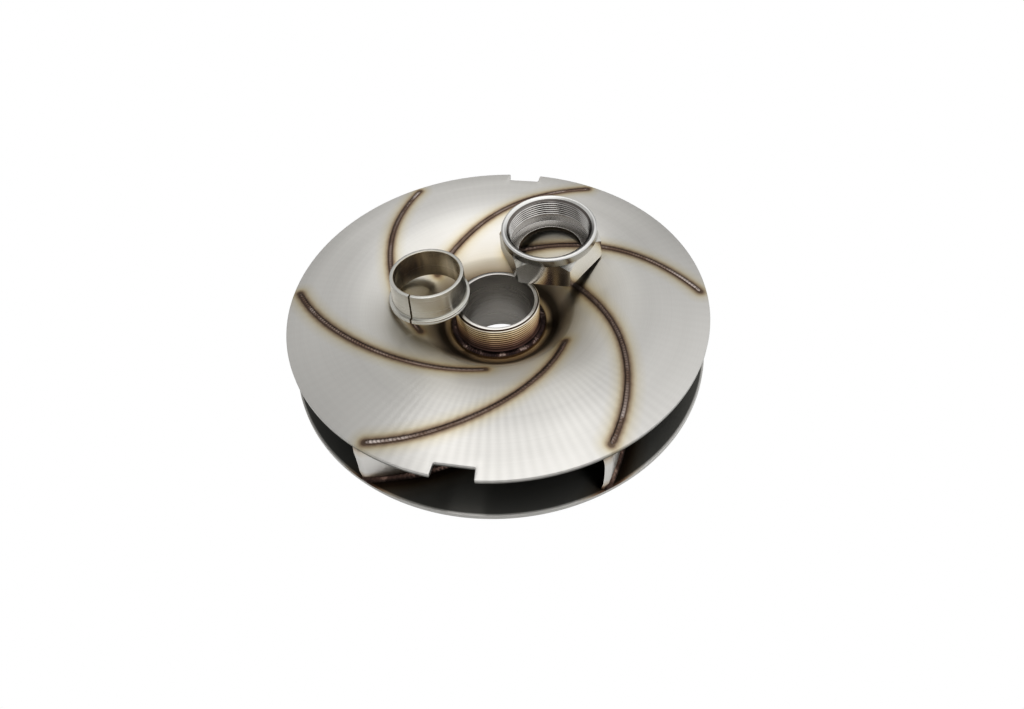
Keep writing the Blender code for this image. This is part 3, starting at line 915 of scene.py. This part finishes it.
# Split cone and clamp nut, each in its own frame and then set down
def standOf(values):
    lean = Vector((values["lean"][0], values["lean"][1], 1.0))
    tilt = Vector((0, 0, 1)).rotation_difference(lean)
    spin = tilt @ Matrix.Rotation(values["turn"], 3, "Z").to_quaternion()
    place = Matrix.Translation((*values["place"], values["lift"]))
    return place @ spin.to_matrix().to_4x4()


cone = {
    "place": (-35.4 * mm, -3.1 * mm), "lift": 44.2 * mm, "lean": (-0.008, 0.017), "turn": 0.0,
    "height": 16.9 * mm, "top": 19.2 * mm, "foot": 19.8 * mm, "flange": 21.4 * mm,
    "flangeHeight": 2.6 * mm, "bore": 17.2 * mm, "slit": 1.0 * mm, "slitTurn": radians(-103.0),
    "edge": 0.25 * mm, "groove": 0.35 * mm, "steps": 300,
    "colour": (0.60, 0.59, 0.55), "insideColour": (0.50, 0.46, 0.385), "roughness": 0.26,
    "lines": 3000.0, "cloud": 70.0, "streakAcross": 260.0, "streakUp": 14.0, "streakShade": 0.9,
    "lineShade": 0.14, "cloudShade": 0.10, "lineRoughness": 0.12,
}


def coneFinish():
    paint = steelPaint("split_cone_steel", cone["colour"], cone["roughness"], 0.7)
    x, y, z = paint.place(standOf(cone))
    r = paint.maths("SQRT", x * x + y * y)
    lines = turnedLines(paint, x, y, z, r, cone["lines"])
    cloud = paint.noise(paint.vector(x, y, z), cone["cloud"], 3.0, 0.55)
    inside = 1.0 - paint.rise(r, cone["bore"] + 0.2 * mm, cone["bore"] + 0.6 * mm)
    across, up = cone["streakAcross"], cone["streakUp"]
    streak = paint.noise(paint.vector(x * across, y * across, z * up), 1.0, 3.0, 0.6)
    base = paint.blend(inside, cone["colour"], cone["insideColour"])
    shade = 0.98 + (streak - 0.5) * inside * cone["streakShade"]
    shade = shade + (lines - 0.5) * cone["lineShade"] + (cloud - 0.5) * cone["cloudShade"]
    roughness = cone["roughness"] + (lines - 0.5) * cone["lineRoughness"]
    return paint.coat(base, shade, roughness, lines, steel["lineDepth"], steel["lineStrength"])


def splitCone():
    middle = cone["flangeHeight"] / 2
    corners = [
        (cone["bore"], 0.0, cone["edge"]), (cone["flange"], 0.0, 0.4 * mm),
        (cone["flange"], middle - cone["groove"], 0.2 * mm),
        (cone["flange"] - cone["groove"], middle, 0),
        (cone["flange"], middle + cone["groove"], 0.2 * mm),
        (cone["flange"], cone["flangeHeight"], 0.35 * mm),
        (cone["foot"], cone["flangeHeight"], 0.3 * mm),
        (cone["top"], cone["height"], cone["edge"]), (cone["bore"], cone["height"], cone["edge"])]
    profile = softened(corners)
    slit = cone["slit"] / cone["foot"]
    columns = []
    for angle in spread(cone["slitTurn"] + slit / 2, cone["slitTurn"] + 2 * pi - slit / 2, cone["steps"]):
        columns.append([(r * cos(angle), r * sin(angle), z) for r, z in profile])
    piece = meshPiece("split_cone_turned", columns, coneFinish(), closedRows=False)
    piece.data.transform(standOf(cone))
    dress(piece, "split_cone", "split_cone")


nut = {
    "place": (23.9 * mm, 38.3 * mm), "lift": 45.2 * mm, "lean": (-0.028, -0.081), "turn": radians(-1.5),
    "height": 20.2 * mm, "collar": 26.0 * mm, "collarHeight": 5.0 * mm, "edge": 0.8 * mm,
    "flats": 49.2 * mm, "coneHeight": 4.0 * mm, "footChamfer": 0.8 * mm, "cornerRound": 0.12 * mm,
    "mouth": 24.3 * mm, "lead": 23.2 * mm, "leadDepth": 0.7 * mm, "crest": 21.6 * mm,
    "relief": 22.9 * mm, "reliefTop": 9.1 * mm, "lip": 17.6 * mm, "lipHeight": 3.0 * mm,
    # the flats' colour is a painted lighter copy of the steel and the collar's a painted darker copy; both
    # are the same metal
    "colour": (0.62, 0.605, 0.585), "flatsPaintedLight": (0.72, 0.705, 0.665), "collarPaintedShade": (0.46, 0.45, 0.42),
    "ringColour": (0.68, 0.675, 0.655),
    # the root colour is painted shade in the thread's roots
    "rootShade": (0.17, 0.155, 0.145), "lipShade": (0.07, 0.06, 0.05), "roughness": 0.22,
    "lines": 2600.0, "cloud": 60.0, "grainAcross": 900.0, "grainUp": 60.0, "lineShade": 0.24,
    "cloudShade": 0.10, "grainShade": 0.10, "lineRoughness": 0.12, "ringRoughness": 0.08,
}


def nutFinish():
    paint = steelPaint("clamp_nut_steel", nut["colour"], nut["roughness"], 0.6)
    x, y, z = paint.place(standOf(nut))
    r = paint.maths("SQRT", x * x + y * y)
    lines = turnedLines(paint, x, y, z, r, nut["lines"])
    cloud = paint.noise(paint.vector(x, y, z), nut["cloud"], 3.0, 0.55)
    across, up = nut["grainAcross"], nut["grainUp"]
    grain = paint.noise(paint.vector(x * across, y * across, z * up), 1.0, 2.0, 0.6)
    inside = 1.0 - paint.rise(r, nut["lead"], nut["lead"] + 0.3 * mm)
    ringFoot = nut["height"] - nut["edge"]
    onRing = paint.rise(z, ringFoot - 0.1 * mm, ringFoot + 0.1 * mm)
    # painted shade in the thread's roots, below the lead-in and off the top ring
    root = paint.rise(r, nut["crest"] + 0.10 * mm, nut["crest"] + 0.62 * mm) * inside
    root = root * paint.rise(z, nut["reliefTop"] - 0.2 * mm, nut["reliefTop"] + 0.2 * mm) * (1.0 - onRing)
    # painted shade: the bore under the lip, low inside the nut, takes a near-black colour
    underLip = 1.0 - paint.rise(z, nut["lipHeight"] - 0.6 * mm, nut["lipHeight"] - 0.1 * mm)
    shoulder = nut["height"] - nut["collarHeight"]
    # painted light and shade: the flats take the lighter copy of the steel, the collar the darker one
    flat = 1.0 - paint.rise(z, shoulder - 1.2 * mm, shoulder)
    base = paint.blend(flat, nut["collarPaintedShade"], nut["flatsPaintedLight"])
    base = paint.blend(inside, base, nut["colour"])
    base = paint.blend(onRing, base, nut["ringColour"])
    base = paint.blend(root, base, nut["rootShade"])
    base = paint.blend(underLip * inside, base, nut["lipShade"])
    shade = 0.98 + (lines - 0.5) * nut["lineShade"] + (cloud - 0.5) * nut["cloudShade"]
    shade = shade + (grain - 0.5) * nut["grainShade"]
    roughness = nut["roughness"] + (lines - 0.5) * nut["lineRoughness"] + onRing * nut["ringRoughness"]
    return paint.coat(base, shade, roughness, lines, steel["lineDepth"], 0.45)


def clampNut():
    corner = nut["flats"] / sqrt(3)
    shoulder = nut["height"] - nut["collarHeight"]
    slope = nut["coneHeight"] / (corner - nut["collar"])
    facets = thread["facets"]
    angles = [2 * pi * i / facets for i in range(facets)]
    flats = []
    for angle in angles:                          # the hexagon's radius, corners at 0, 60 degrees and on
        off = (angle + pi / 6) % (pi / 3) - pi / 6
        flats.append(min(nut["flats"] / 2 / cos(pi / 6 - abs(off)), corner - nut["cornerRound"]))
    low = [max(0.0, r - (corner - nut["footChamfer"])) for r in flats]
    high = [shoulder - slope * max(0.0, r - nut["collar"]) for r in flats]

    def row(pick):
        made = []
        for i, angle in enumerate(angles):
            r, z = pick(i)
            made.append((r * cos(angle), r * sin(angle), z))
        return made

    rows = [row(lambda i: (min(flats[i], corner - nut["footChamfer"]), 0.0))]
    rows += [row(lambda i: (flats[i], low[i] + (high[i] - low[i]) * t)) for t in spread(0.0, 1.0, 12)]
    rows += [row(lambda i: (flats[i] + (nut["collar"] - flats[i]) * t, high[i] + (shoulder - high[i]) * t))
             for t in (0.25, 0.5, 0.75, 1.0)]
    top, edge = nut["height"], nut["edge"]
    rows += turned([
        (nut["collar"], top - edge - 0.1 * mm), (nut["collar"] - 0.05 * mm, top - edge + 0.03 * mm),
        (nut["collar"] - edge + 0.08 * mm, top - 0.05 * mm), (nut["collar"] - edge - 0.08 * mm, top),
        (nut["mouth"] + 0.08 * mm, top), (nut["mouth"] - 0.06 * mm, top - 0.08 * mm)], facets)
    leadFoot = top - nut["leadDepth"]
    threadTop = leadFoot - (nut["lead"] - nut["crest"])

    def limit(r, z):
        return max(r, nut["crest"] + max(0.0, z - threadTop))

    root = nut["crest"] + thread["depth"]
    rows += threadRows(nut["crest"], root, leadFoot, nut["reliefTop"], limit)
    inside = softened([
        (nut["relief"], nut["reliefTop"], 0), (nut["relief"], nut["lipHeight"], 0.5 * mm),
        (nut["lip"], nut["lipHeight"], 0.2 * mm), (nut["lip"], 0.0, 0.25 * mm),
        (nut["lip"] + 2.0 * mm, 0.0, 0)])
    rows += turned(inside, facets)
    piece = meshPiece("clamp_nut_turned", rows, nutFinish(), sharp=30.0)
    piece.data.transform(standOf(nut))
    dress(piece, "clamp_nut", "clamp_nut")


splitCone()
clampNut()
print("split cone and clamp nut made")
